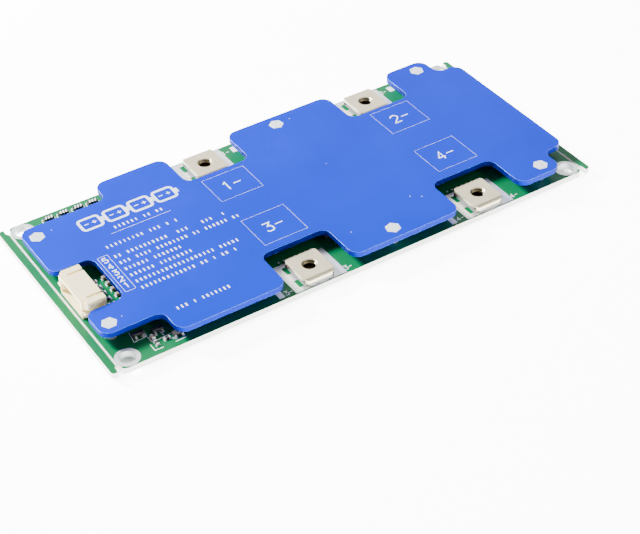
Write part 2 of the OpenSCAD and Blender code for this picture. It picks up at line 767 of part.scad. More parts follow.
pcb();
mount_rings();
terminal_lands();
heat_plate();
standoffs();
standoff_screws();
thermal_pad_back();
thermal_pad_front();
fet_bodies_back();
fet_frames_back();
fet_bodies_front();
fet_frames_front();
current_shunts();
terminal_back_left();
terminal_back_right();
terminal_front_left();
terminal_front_right();
connector_housing();
connector_pins();
pin_solder();
protection_chip();
protection_chip_leads();
balance_transistors();
balance_transistor_leads();
balance_resistors();
balance_resistor_ends();
gate_transistors();
gate_transistor_leads();
sense_resistors();
sense_resistor_ends();
sense_capacitors();
sense_capacitor_ends();
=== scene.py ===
"""Looks of a battery management board.

A green board carries a blue anodised heat plate, four bent screw terminals and a side-entry lead
connector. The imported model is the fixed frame. The pieces made here stand for its nodes, or add what is
too fine for them: eased edges, screw threads, solder, laser marks, screen print, pads and vias.
"""

import math

import bmesh
import bpy
from mathutils import Matrix, Vector


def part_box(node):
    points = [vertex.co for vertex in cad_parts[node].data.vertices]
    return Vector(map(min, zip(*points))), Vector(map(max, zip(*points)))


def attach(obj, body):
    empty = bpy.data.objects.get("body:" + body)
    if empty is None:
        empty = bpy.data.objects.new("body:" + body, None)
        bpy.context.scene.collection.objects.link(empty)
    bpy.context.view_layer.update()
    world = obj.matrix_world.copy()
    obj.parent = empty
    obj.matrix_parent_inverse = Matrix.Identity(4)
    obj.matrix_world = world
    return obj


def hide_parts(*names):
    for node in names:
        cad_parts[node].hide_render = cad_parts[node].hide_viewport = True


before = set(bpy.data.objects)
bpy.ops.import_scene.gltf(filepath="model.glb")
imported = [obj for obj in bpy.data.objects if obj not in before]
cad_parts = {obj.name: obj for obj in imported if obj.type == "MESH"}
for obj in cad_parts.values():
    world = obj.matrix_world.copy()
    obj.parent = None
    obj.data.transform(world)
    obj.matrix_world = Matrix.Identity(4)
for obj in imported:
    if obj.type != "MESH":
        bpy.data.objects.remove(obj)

bl_info = {
    "name": "Battery management board",
    "version": (1, 0, 0),
    "blender": (4, 5, 0),
    "location": "View3D > Sidebar > Board",
    "description": "Dresses a battery management board and sets up its studio",
    "category": "Object",
}

MM = 0.001
BODY = "root"
TERMINALS = ("terminal_back_left", "terminal_back_right", "terminal_front_left", "terminal_front_right")
WELD = 0.0005 * MM  # vertices nearer to each other than this are one
FLAT = math.radians(0.5)  # faces that turn less than this from each other are one
SHARP = math.radians(32)  # edges that turn more than this are eased
HAIR = 0.002 * MM  # step in height between strokes that cross, so that their faces don't coincide
WAVE = 0.314  # length of a wave texture's period at a scale of 1
# Digits as strokes in a cell 0.6 wide and 1 high
DIGITS = {
    1: [[(0.12, 0.8), (0.34, 1), (0.34, 0)]],
    2: [[(0, 0.82), (0.15, 1), (0.45, 1), (0.6, 0.82), (0.6, 0.62), (0, 0), (0.62, 0)]],
    3: [[(0, 1), (0.6, 1), (0.28, 0.6), (0.45, 0.6), (0.6, 0.45),
         (0.6, 0.15), (0.45, 0), (0.15, 0), (0, 0.15)]],
    4: [[(0.45, 0), (0.45, 1), (0, 0.3)], [(0, 0.3), (0.64, 0.3)]],
    5: [[(0.58, 1), (0.06, 1), (0, 0.55), (0.4, 0.6), (0.6, 0.42),
         (0.6, 0.16), (0.42, 0), (0.15, 0), (0, 0.12)]],
}


def linear(hex_colour):
    """Linear RGB of an sRGB hex colour such as "#3a7bd5"."""
    parts = [int(hex_colour[i : i + 2], 16) / 255 for i in (1, 3, 5)]
    return tuple(c / 12.92 if c <= 0.04045 else ((c + 0.055) / 1.055) ** 2.4 for c in parts)


def colour(name, description, hex_colour):
    """A colour that the user can change."""
    shown = linear(hex_colour)
    return bpy.props.FloatVectorProperty(
        name=name, description=description, default=shown, size=3, min=0, max=1, subtype="COLOR"
    )


def number(name, description, value, **kind):
    """A number that the user can change."""
    return bpy.props.FloatProperty(name=name, description=description, default=value, **kind)


def length(name, description, millimetres):
    """A size that the user can change."""
    return number(name, description, millimetres * MM, unit="LENGTH", subtype="DISTANCE", precision=5)


def angle(name, description, degrees):
    """An angle that the user can change."""
    return number(name, description, math.radians(degrees), unit="ROTATION", subtype="ANGLE")


class BoardSizes(bpy.types.PropertyGroup):
    """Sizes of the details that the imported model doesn't carry."""

    plate_ease: length("Plate edge", "Width of the eased edges of the heat plate", 0.22)
    stud_ease: length("Stud edge", "Width of the eased edges of the hexagonal heads", 0.14)
    terminal_ease: length("Terminal edge", "Width of the eased edges of the terminals", 0.24)
    housing_ease: length("Housing edge", "Width of the eased edges of the connector housing", 0.1)
    thread_pitch: length("Thread pitch", "Distance between turns of the terminals' screw threads", 0.7)
    thread_depth: length("Thread depth", "Depth of the terminals' screw threads", 0.38)
    mark_width: length("Mark width", "Width of the laser-marked lines", 0.4)
    print_width: length("Print width", "Width of the screen-printed lines", 0.2)
    # The film also sets the height of the dark sheet under the terminals, which is painted shade
    film: length("Film", "Height of marks, print, pads and rosin above their surface", 0.02)
    pad_margin: length("Pad margin", "Solder pad seen round a lead", 0.18)
    via_size: length("Via", "Diameter of the plated vias", 0.7)
    solder_reach: length("Solder reach", "Reach of the solder fillets beside the terminals' legs", 0.5)


class BoardColours(bpy.types.PropertyGroup):
    """Colours of the board's finishes."""

    mask: colour("Solder mask", "Green lacquer of the board", "#00683c")
    laminate: colour("Laminate", "Cut edge of the glass-epoxy board", "#dcdfd6")
    tin: colour("Tin", "Solder-coated copper", "#d5d8da")
    plate: colour("Plate", "Dyed oxide of the heat plate", "#0229c9")
    # A lighter blue for the plate's eased edges: a painted highlight
    edge_highlight: colour("Worn dye", "Lighter edge of the heat plate", "#6fa8ff")
    mark: colour("Laser mark", "Bleached oxide of the marks", "#e6f0ff")
    zinc: colour("Zinc", "Plating of standoffs and screws", "#eceff4")
    nickel: colour("Nickel", "Plating of the terminals", "#cfc5a8")
    nylon: colour("Nylon", "Connector housing", "#fdeabc")
    epoxy: colour("Moulding", "Black moulded epoxy of the transistors", "#1b1c1e")
    ceramic: colour("Ceramic", "Body of the chip capacitors", "#9a8468")
    # Dark brown of the film under the terminals, which is painted shade
    terminal_shade: colour("Rosin", "Film left under the terminals by soldering", "#1d140c")
    ink: colour("Ink", "White screen print", "#fbfcf8")
    pad: colour("Pad", "Silicone gap filler", "#8fa3b3")
    shunt: colour("Shunt", "Resistance alloy strip", "#8d8780")


class StudioSettings(bpy.types.PropertyGroup):
    """Camera and light."""

    azimuth: angle("Azimuth", "Direction of the camera round the board", -30.975)
    elevation: angle("Elevation", "Height of the camera above the horizon", 39.461)
    roll: angle("Roll", "Tilt of the camera about its own line of sight", -2.174)
    distance: length("Distance", "Distance of the camera from the middle of the plate", 423.0)
    aside: length("Aside", "Shift of the camera to its left", 1.0)
    below: length("Below", "Shift of the camera downwards", 20.92)
    focal: number("Lens", "Focal length in millimetres", 90.89)
    frame_shift: number("Shift", "Sideways shift of the frame", 0.0394)
    key: number("Key light", "Power of the key light in watts", 26.0)
    soft: number("Soft box", "Power of the large soft box in watts", 8.3)
    edge: number("Edge light", "Power of the edge light in watts", 0.9)
    sky: number("Sky", "Brightness of the white surroundings", 0.22)
    glow: number("Floor glow", "Brightness of the lit floor", 10.0)


# ---------------------------------------------------------------- materials


def add_node(tree, kind, inputs=None, **settings):
    """Adds a node. inputs maps its sockets' names or numbers to values, or to what feeds them.

    A socket feeds another as it is, and a node by its first output.
    """
    node = tree.nodes.new(kind)
    for name, value in settings.items():
        setattr(node, name, value)
    for name, value in (inputs or {}).items():
        if isinstance(value, bpy.types.Node):
            value = value.outputs[0]
        if isinstance(value, bpy.types.NodeSocket):
            tree.links.new(value, node.inputs[name])
        else:
            node.inputs[name].default_value = value
    return node


def new_material(name, *grains):
    """An empty material with its Object coordinates and one noise texture for each grain.

    A grain is its width in millimetres, its detail and, if it is drawn out, its scale along each axis.
    """
    material = bpy.data.materials.new(name)
    material.use_nodes = True
    tree = material.node_tree
    tree.nodes.clear()
    place = add_node(tree, "ShaderNodeTexCoord").outputs["Object"]
    noises = []
    for width, detail, *drawn in grains:
        source = place
        if drawn:
            source = add_node(tree, "ShaderNodeMapping", {"Vector": place, "Scale": drawn})
        field = {"Vector": source, "Scale": 1 / (width * MM), "Detail": detail}
        noises.append(add_node(tree, "ShaderNodeTexNoise", field))
    return material, place, *noises


def rgba(rgb, gain=1.0):
    """A colour socket's value, lightened or darkened by gain."""
    return (*[min(1.0, c * gain) for c in rgb], 1.0)


def shades(rgb, first, second):
    """Two strengths of one colour, as colour sockets' values."""
    return rgba(rgb, first), rgba(rgb, second)


def close_material(material, blend, tones, shader, gloss=None, relief=None):
    """Ends a material with a shader whose colour runs between two tones along a pattern, blend.

    shader holds the shader's other inputs. gloss holds the inputs of the node that varies roughness.
    relief is the pattern, the strength and the depth in millimetres of the unevenness of the surface.
    """
    tree = material.node_tree
    tone = add_node(tree, "ShaderNodeMix", {0: blend, 6: tones[0], 7: tones[1]}, data_type="RGBA")
    inputs = {"Base Color": tone.outputs[2], **shader}
    if gloss:
        inputs["Roughness"] = add_node(tree, "ShaderNodeMapRange", gloss)
    if relief:
        height, strength, depth = relief
        bump = {"Height": height, "Strength": strength, "Distance": depth * MM}
        inputs["Normal"] = add_node(tree, "ShaderNodeBump", bump)
    surface = add_node(tree, "ShaderNodeBsdfPrincipled", inputs)
    add_node(tree, "ShaderNodeOutputMaterial", {"Surface": surface})
    return material


def grained(name, grain, tones, shader, *lift):
    """A material with one grain that shades it. lift is its relief's strength and depth, if any."""
    material, _, noise = new_material(name, grain)
    return close_material(material, noise, tones, shader, relief=(noise, *lift) if lift else None)


def anodised_aluminium(colours):
    """Rolled aluminium sheet, bead blasted and dyed in the oxide bath.

    The eye gets a satin, even blue with a fine glitter of blast pits and broad, faint clouds of dye.
    """
    # Blast pits are about 0.1 mm wide; drawn at 0.25 mm, so that they show
    material, _, pits, clouds = new_material("anodised_aluminium_blue", (0.25, 3.0), (18, 2.0))
    gloss = {"Value": pits, "From Min": 0.3, "From Max": 0.7, "To Min": 0.36, "To Max": 0.5}
    relief = (pits, 0.25, 0.02)
    shader = {"Metallic": 0.72, "Specular IOR Level": 0.0}
    return close_material(material, clouds, shades(colours.plate, 0.86, 1.12), shader, gloss, relief)


def painted_edge_highlight(colours):
    """Eased edge of the anodised sheet, a lighter blue line: a painted highlight along the plate's edges.
    """
    tones = rgba(colours.plate), rgba(colours.edge_highlight)
    return grained("anodised_worn_edge", (2.5, 3.0), tones, {"Roughness": 0.4, "Metallic": 0.5})


def shaded_anodised_rim(colours):
    """Stamped rim of the anodised sheet: the same dye, rougher, with upright shear lines, and darker as
    painted shade.
    """
    # Shear lines are 0.1 mm apart; drawn at 0.2 mm, so that they show
    grain, tones = (0.2, 2.0, 1.0, 1.0, 0.1), shades(colours.plate, 0.3, 0.45)
    shader = {"Roughness": 0.55, "Metallic": 0.72, "Specular IOR Level": 0.0}
    return grained("anodised_stamped_rim", grain, tones, shader)


def bleached_oxide(colours):
    """Dyed oxide that a laser has bleached. The marks are matt, near white, with a trace of the dye."""
    material, place = new_material("bleached_oxide_mark")
    # Overlapping laser spots are 0.06 mm wide; drawn at 0.15 mm, so that they show
    cells = {"Vector": place, "Scale": 1 / (0.15 * MM)}
    spots = add_node(material.node_tree, "ShaderNodeTexVoronoi", cells)
    return close_material(material, spots, shades(colours.mark, 1.0, 0.78), {"Roughness": 0.8})


def solder_mask(colours):
    """Glossy photo-cured lacquer over glass cloth and copper.

    It is bright green, with a faint weave of the cloth below and a gloss that ripples a little.
    """
    material, place, ripple = new_material("solder_mask_green", (3, 2.0))
    tree = material.node_tree
    # Glass cloth has a thread every 0.5 mm
    threads = {"Vector": place, "Scale": WAVE / (0.5 * MM), "Distortion": 0.6}
    warp, weft = [add_node(tree, "ShaderNodeTexWave", threads, bands_direction=way) for way in "XY"]
    crossed = {0: warp.outputs["Fac"], 1: weft.outputs["Fac"]}
    cloth = add_node(tree, "ShaderNodeMath", crossed, operation="MULTIPLY")
    relief = (ripple, 0.2, 0.05)
    shader = {"Roughness": 0.28, "IOR": 1.52, "Specular IOR Level": 0.08}
    return close_material(material, cloth, shades(colours.mask, 0.97, 1.03), shader, relief=relief)


def cut_laminate(colours):
    """Routed or scored edge of glass-epoxy board: pale, matt, in thin layers of cloth."""
    material, place, fibres = new_material("cut_glass_epoxy_laminate", (0.35, 3.0))
    tree = material.node_tree
    # Eight plies of cloth in 1.6 mm
    layers = {"Vector": place, "Scale": WAVE / (0.2 * MM), "Distortion": 1.5, "Detail": 2.0}
    plies = add_node(tree, "ShaderNodeTexWave", layers, bands_direction="Z").outputs["Fac"]
    cloth = add_node(tree, "ShaderNodeMath", {0: plies, 1: fibres}, operation="MULTIPLY")
    shader = {"Roughness": 0.6, "Subsurface Weight": 0.15, "Subsurface Scale": 0.3 * MM}
    return close_material(material, cloth, shades(colours.laminate, 0.92, 1.05), shader)


def tinned_copper(colours):
    """Copper dipped in solder and levelled with hot air: bright, with soft, shallow waves."""
    material, _, waves, grain = new_material("hot_air_levelled_tin", (1.1, 2.0), (0.2, 2.0))
    tones = shades(colours.tin, 0.85, 1.1)
    gloss = {"Value": grain, "To Min": 0.3, "To Max": 0.45}
    relief = (waves, 0.15, 0.05)
    return close_material(material, waves, tones, {"Metallic": 0.6}, gloss, relief)


def nickel_plated_strip(colours):
    """Rolled, stamped and plated brass strip: warm grey, satin, with fine rolling lines along X."""
    # Rolling lines are 0.05 mm apart; drawn at 0.2 mm, so that they show
    grains = (0.2, 3.0, 0.06, 1.0, 1.0), (4, 3.0)
    material, _, lines, clouds = new_material("nickel_plated_brass_strip", *grains)
    gloss = {"Value": lines, "To Min": 0.26, "To Max": 0.48}
    relief = (lines, 0.3, 0.02)
    tones = shades(colours.nickel, 0.84, 1.14)
    return close_material(material, clouds, tones, {"Metallic": 0.8}, gloss, relief)


def heat_stained_nickel(colours):
    """Underside and inner faces of a terminal: the plating darkened as painted shade, dull, in soft
    blots.
    """
    tones = shades(colours.nickel, 0.06, 0.16)
    return grained("heat_stained_nickel", (1.5, 2.0), tones, {"Roughness": 0.55, "Metallic": 1.0})


def zinc_plated_steel(colours):
    """Cold-headed steel, zinc plated: bluish white, bright, a little uneven."""
    material, place = new_material("zinc_plated_steel")
    cells = {"Vector": place, "Scale": 1 / (0.6 * MM)}
    spangle = add_node(material.node_tree, "ShaderNodeTexVoronoi", cells)
    gloss = {"Value": spangle, "To Min": 0.24, "To Max": 0.4}
    return close_material(material, spangle, shades(colours.zinc, 1.1, 0.85), {"Metallic": 0.7}, gloss)


def moulded_nylon(colours):
    """Natural nylon, moulded in a spark-eroded tool: ivory, slightly translucent, finely grained."""
    # Spark-eroded texture is 0.08 mm across; drawn at 0.2 mm, so that it shows
    material, _, grain, flow = new_material("moulded_natural_nylon", (0.2, 2.0), (5, 2.0))
    relief = (grain, 0.2, 0.02)
    shader = {
        "Roughness": 0.42,
        "IOR": 1.53,
        "Subsurface Weight": 0.3,
        "Subsurface Radius": (1.0, 0.8, 0.5),
        "Subsurface Scale": 0.6 * MM,
    }
    return close_material(material, flow, shades(colours.nylon, 0.92, 1.05), shader, relief=relief)


def moulded_epoxy(colours):
    """Transfer-moulded black epoxy: dark grey, matt, with a sandy grain that greys its highlights."""
    tones, shader = shades(colours.epoxy, 0.7, 1.6), {"Roughness": 0.5, "IOR": 1.55}
    return grained("moulded_black_epoxy", (0.12, 2.0), tones, shader, 0.35, 0.02)


def fired_ceramic(colours):
    """Tape-cast ceramic, sawn and fired: light brown, dense, with a soft sheen."""
    tones = shades(colours.ceramic, 0.8, 1.2)
    return grained("fired_chip_ceramic", (0.15, 3.0), tones, {"Roughness": 0.38})


def silicone_gap_filler(colours):
    """Soft silicone sheet filled with ceramic powder: grey blue, matt, with a cloth-like skin."""
    tones, shader = shades(colours.pad, 0.85, 1.1), {"Roughness": 0.75, "IOR": 1.41}
    return grained("silicone_gap_filler", (0.5, 3.0), tones, shader, 0.3, 0.05)


def rosin_film(colours):
    """A thin, glassy, dark brown film under a terminal, thicker in places: painted shade where the
    terminal covers the board.
    """
    return grained("rosin_residue", (1.2, 2.0), shades(colours.terminal_shade, 1.0, 2.0), {"Roughness": 0.3})


def resistance_alloy(colours):
    """Manganese-copper strip, rolled and stamped: dull brownish grey with streaks across the board."""
    grain, tones = (0.2, 3.0, 0.08, 1.0, 1.0), shades(colours.shunt, 0.75, 1.2)
    return grained("rolled_resistance_alloy", grain, tones, {"Metallic": 1.0, "Roughness": 0.42})


def screen_ink(colours):
    """White epoxy ink pushed through a mesh: flat white, a little thin in places, matt."""
    tones = shades(colours.ink, 0.86, 1.0)
    return grained("screen_printed_ink", (0.4, 3.0), tones, {"Roughness": 0.65})


def lit_floor(studio):
    """Opal acrylic lit from behind: an even, near white glow, with a painted shadow where it fades near
    the board's outline and under the board.
    """
    material, place = new_material("lit_opal_floor")
    tree = material.node_tree
    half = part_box("pcb")[1]
    # Painted shadow: the glow comes up between these distances from the board's outline
    dark_in, lit_out = -5 * MM, 1 * MM
    white = (1.0, 1.0, 1.0)
    apart = add_node(tree, "ShaderNodeSeparateXYZ", {"Vector": place})
    gaps = []
    for axis in (0, 1):
        reach = add_node(tree, "ShaderNodeMath", {0: apart.outputs[axis]}, operation="ABSOLUTE")
        gaps.append(add_node(tree, "ShaderNodeMath", {0: reach, 1: half[axis]}, operation="SUBTRACT"))
    gap = add_node(tree, "ShaderNodeMath", {0: gaps[0], 1: gaps[1]}, operation="MAXIMUM")
    rise = {"Value": gap, "From Min": dark_in, "From Max": lit_out, "To Max": studio.glow}
    glow = add_node(tree, "ShaderNodeMapRange", rise, interpolation_type="SMOOTHSTEP")
    haze = add_node(tree, "ShaderNodeTexNoise", {"Vector": place, "Scale": 3.0, "Detail": 1.0})
    shader = {"Roughness": 0.9, "Emission Color": rgba(white), "Emission Strength": glow}
    return close_material(material, haze, shades(white, 0.93, 0.96), shader)


def finish(recipe):
    """The material that a recipe makes of the scene's colours, made once."""
    if recipe.__name__ not in finish.made:
        finish.made[recipe.__name__] = recipe(bpy.context.scene.board_colours)
    return finish.made[recipe.__name__]


finish.made = {}


# ---------------------------------------------------------------- making pieces


def new_object(name, data):
    """An object in the scene that holds a mesh, a lamp or a camera."""
    made = bpy.data.objects.new(name, data)
    bpy.context.scene.collection.objects.link(made)
    return made


def piece_from(name, shape, *recipes):
    """An object from a bmesh, which is used up, with the materials that its recipes make."""
    mesh = bpy.data.meshes.new(name)
    shape.to_mesh(mesh)
    shape.free()
    # This also gives every face the first material
    mesh.materials.clear()
    for recipe in recipes:
        mesh.materials.append(finish(recipe))
    return new_object(name, mesh)


def loose_piece(name, places, edges=()):
    """An object of loose vertices and edges, from which geometry nodes make more."""
    mesh = bpy.data.meshes.new(name)
    mesh.from_pydata(places, edges, [])
    return new_object(name, mesh)


def make_plain(piece):
    """Turns a piece and its modifiers into a plain mesh on the same object."""
    graph = bpy.context.evaluated_depsgraph_get()
    shown = piece.evaluated_get(graph)
    mesh = bpy.data.meshes.new_from_object(shown, preserve_all_data_layers=True, depsgraph=graph)
    mesh.name = piece.name
    piece.modifiers.clear()
    piece.data = mesh


def belong(piece, replaces=()):
    """Fixes a finished piece to the board and hides the imported nodes that it replaces."""
    if not piece.data.polygons:
        raise RuntimeError(f"{piece.name} has no faces")
    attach(piece, BODY)
    if replaces:
        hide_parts(*replaces)


def merged_copy(node):
    """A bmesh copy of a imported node, its triangles joined into whole faces."""
    shape = bmesh.new()
    shape.from_mesh(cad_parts[node].data)
    bmesh.ops.remove_doubles(shape, verts=shape.verts, dist=WELD)
    bmesh.ops.dissolve_limit(
        shape, angle_limit=FLAT, verts=shape.verts, edges=shape.edges, use_dissolve_boundaries=False
    )
    return shape


def ease_edges(piece, width, segments=3, edge_highlight=-1):
    """Rounds a piece's sharp edges and smooths its shading. The last argument is the edges' own material
    slot, which the plate fills with a painted highlight.
    """
    piece.data.shade_smooth()
    bevel = piece.modifiers.new("eased edges", "BEVEL")
    bevel.width = width
    bevel.segments = segments
    bevel.material = edge_highlight
    bevel.limit_method = "ANGLE"
    bevel.angle_limit = SHARP
    weight = piece.modifiers.new("flat faces", "WEIGHTED_NORMAL")
    weight.keep_sharp = True
    make_plain(piece)


def dress(recipe, *nodes):
    """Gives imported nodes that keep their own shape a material."""
    for node in nodes:
        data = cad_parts[node].data
        data.materials.clear()
        data.materials.append(finish(recipe))


def middle(node):
    """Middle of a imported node's box."""
    low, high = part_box(node)
    return (Vector(low) + Vector(high)) / 2


def islands(shape):
    """Low and high corners of each separate solid in a mesh, in order of their low corners."""
    boxes, left = [], set(shape.verts)
    while left:
        found = [left.pop()]
        for v in found:
            near = {e.other_vert(v) for e in v.link_edges} & left
            left -= near
            found.extend(near)
        ends = [[pick(v.co[axis] for v in found) for axis in range(3)] for pick in (min, max)]
        boxes.append(tuple(Vector(end) for end in ends))
    return sorted(boxes, key=lambda box: tuple(box[0]))


def film_on(top, film, rise=1.0):
    """Heights between which a film lies: its thickness under a surface, and rise times that over it."""
    return top - film, top + rise * film


def join_rings(shape, a, b):
    """Adds the faces between two rings of vertices."""
    for k in range(len(a)):
        n = (k + 1) % len(a)
        shape.faces.new((a[k], a[n], b[n], b[k]))


def stroke(shape, points, width, low, high, closed=False):
    """Adds a flat strip along plan points, its corners mitred, between two heights."""
    least_cosine = 0.45  # corners sharper than this get a shorter mitre
    points = [Vector(p) for p in points]
    count = len(points)
    rails = []
    for i, here in enumerate(points):
        ways = []
        if closed or i:
            ways.append((here - points[i - 1]).normalized())
        if closed or i < count - 1:
            ways.append((points[(i + 1) % count] - here).normalized())
        across = [Vector((-d.y, d.x)) for d in ways]
        mitre = (across[0] + across[-1]).normalized()
        reach = width / 2 / max(least_cosine, mitre.dot(across[0]))
        rails.append((here + mitre * reach, here - mitre * reach))
    rings = [
        [shape.verts.new((*p, z)) for p, z in ((left, high), (right, high), (right, low), (left, low))]
        for left, right in rails
    ]
    for i in range(count if closed else count - 1):
        join_rings(shape, rings[i], rings[(i + 1) % count])
    if not closed:
        shape.faces.new(rings[0][::-1])
        shape.faces.new(rings[-1])


def patch(shape, x0, y0, x1, y1, low, high):
    """Adds a rectangular block between two heights."""
    corners = [(x0, y0), (x1, y0), (x1, y1), (x0, y1)]
    lower = [shape.verts.new((*c, low)) for c in corners]
    upper = [shape.verts.new((*c, high)) for c in corners]
    shape.faces.new(upper)
    shape.faces.new(lower[::-1])
    join_rings(shape, lower, upper)


# The functions below take plan places in millimetres, and widths and heights in metres


def spot_patch(shape, x0, y0, x1, y1, span):
    """Adds a rectangular block."""
    patch(shape, x0 * MM, y0 * MM, x1 * MM, y1 * MM, *span)


def trace(shape, lines, width, span, closed=False):
    """Draws lines, each a hair higher than the last, where they cross."""
    for i, line in enumerate(lines):
        points = [(x * MM, y * MM) for x, y in line]
        stroke(shape, points, width, span[0], span[1] + i * HAIR, closed)


def write_digit(shape, digit, x, y, height, width, span):
    """A plain digit with its lower left corner at x, y. Its height is in millimetres too."""
    lines = [[(x + px * height, y + py * height) for px, py in line] for line in DIGITS[digit]]
    trace(shape, lines, width, span)


def rounded_box(x0, y0, x1, y1, radius, steps=4):
    """Points of a rectangle with rounded corners, anticlockwise."""
    left, right, bottom, top = x0 + radius, x1 - radius, y0 + radius, y1 - radius
    points = []
    for quarter, (x, y) in enumerate(((right, top), (left, top), (left, bottom), (right, bottom))):
        for k in range(steps + 1):
            turn = math.radians(90 * (quarter + k / steps))
            points.append((x + radius * math.cos(turn), y + radius * math.sin(turn)))
    return points


def grow(piece, label, values, recipe, build):
    """Runs a geometry node tree on a piece and keeps the result as a plain mesh.

    values maps each input's name to its value. build gets the tree and the group's inputs, and returns
    the node that makes the geometry.
    """
    tree = bpy.data.node_groups.new(label, "GeometryNodeTree")
    face = tree.interface
    for way in ("INPUT", "OUTPUT"):
        face.new_socket("Geometry", in_out=way, socket_type="NodeSocketGeometry")
    kinds = {float: "NodeSocketFloat", int: "NodeSocketInt", bpy.types.Material: "NodeSocketMaterial"}
    inputs = {**values, "Material": finish(recipe)}
    sockets = {
        name: face.new_socket(name, in_out="INPUT", socket_type=kinds[type(value)])
        for name, value in inputs.items()
    }
    given = add_node(tree, "NodeGroupInput").outputs
    whole = add_node(tree, "GeometryNodeRealizeInstances", {"Geometry": build(tree, given)})
    clad = add_node(tree, "GeometryNodeSetMaterial", {"Geometry": whole, "Material": given["Material"]})
    add_node(tree, "NodeGroupOutput", {"Geometry": clad})
    modifier = piece.modifiers.new(label, "NODES")
    modifier.node_group = tree
    for name, value in inputs.items():
        modifier[sockets[name].identifier] = value
    make_plain(piece)


# ---------------------------------------------------------------- operators


class BOARD_OT_heat_plate(bpy.types.Operator):
    """Makes the heat-spreading plate with its eased edges"""

    bl_idname = "board.heat_plate"
    bl_label = "Heat plate"

    def execute(self, context):
        recipes = (anodised_aluminium, shaded_anodised_rim, painted_edge_highlight)
        plate = piece_from("heat_plate_dressed", merged_copy("heat_plate"), *recipes)
        for side in plate.data.polygons:
            # Upright sides take the second material, the same blue darkened as painted shade
            side.material_index = 1 if abs(side.normal.z) < 0.2 else 0
        # The eased edges take the third material, a lighter blue painted highlight
        ease_edges(plate, context.scene.board_sizes.plate_ease, edge_highlight=2)
        belong(plate, ["heat_plate"])
        return {"FINISHED"}


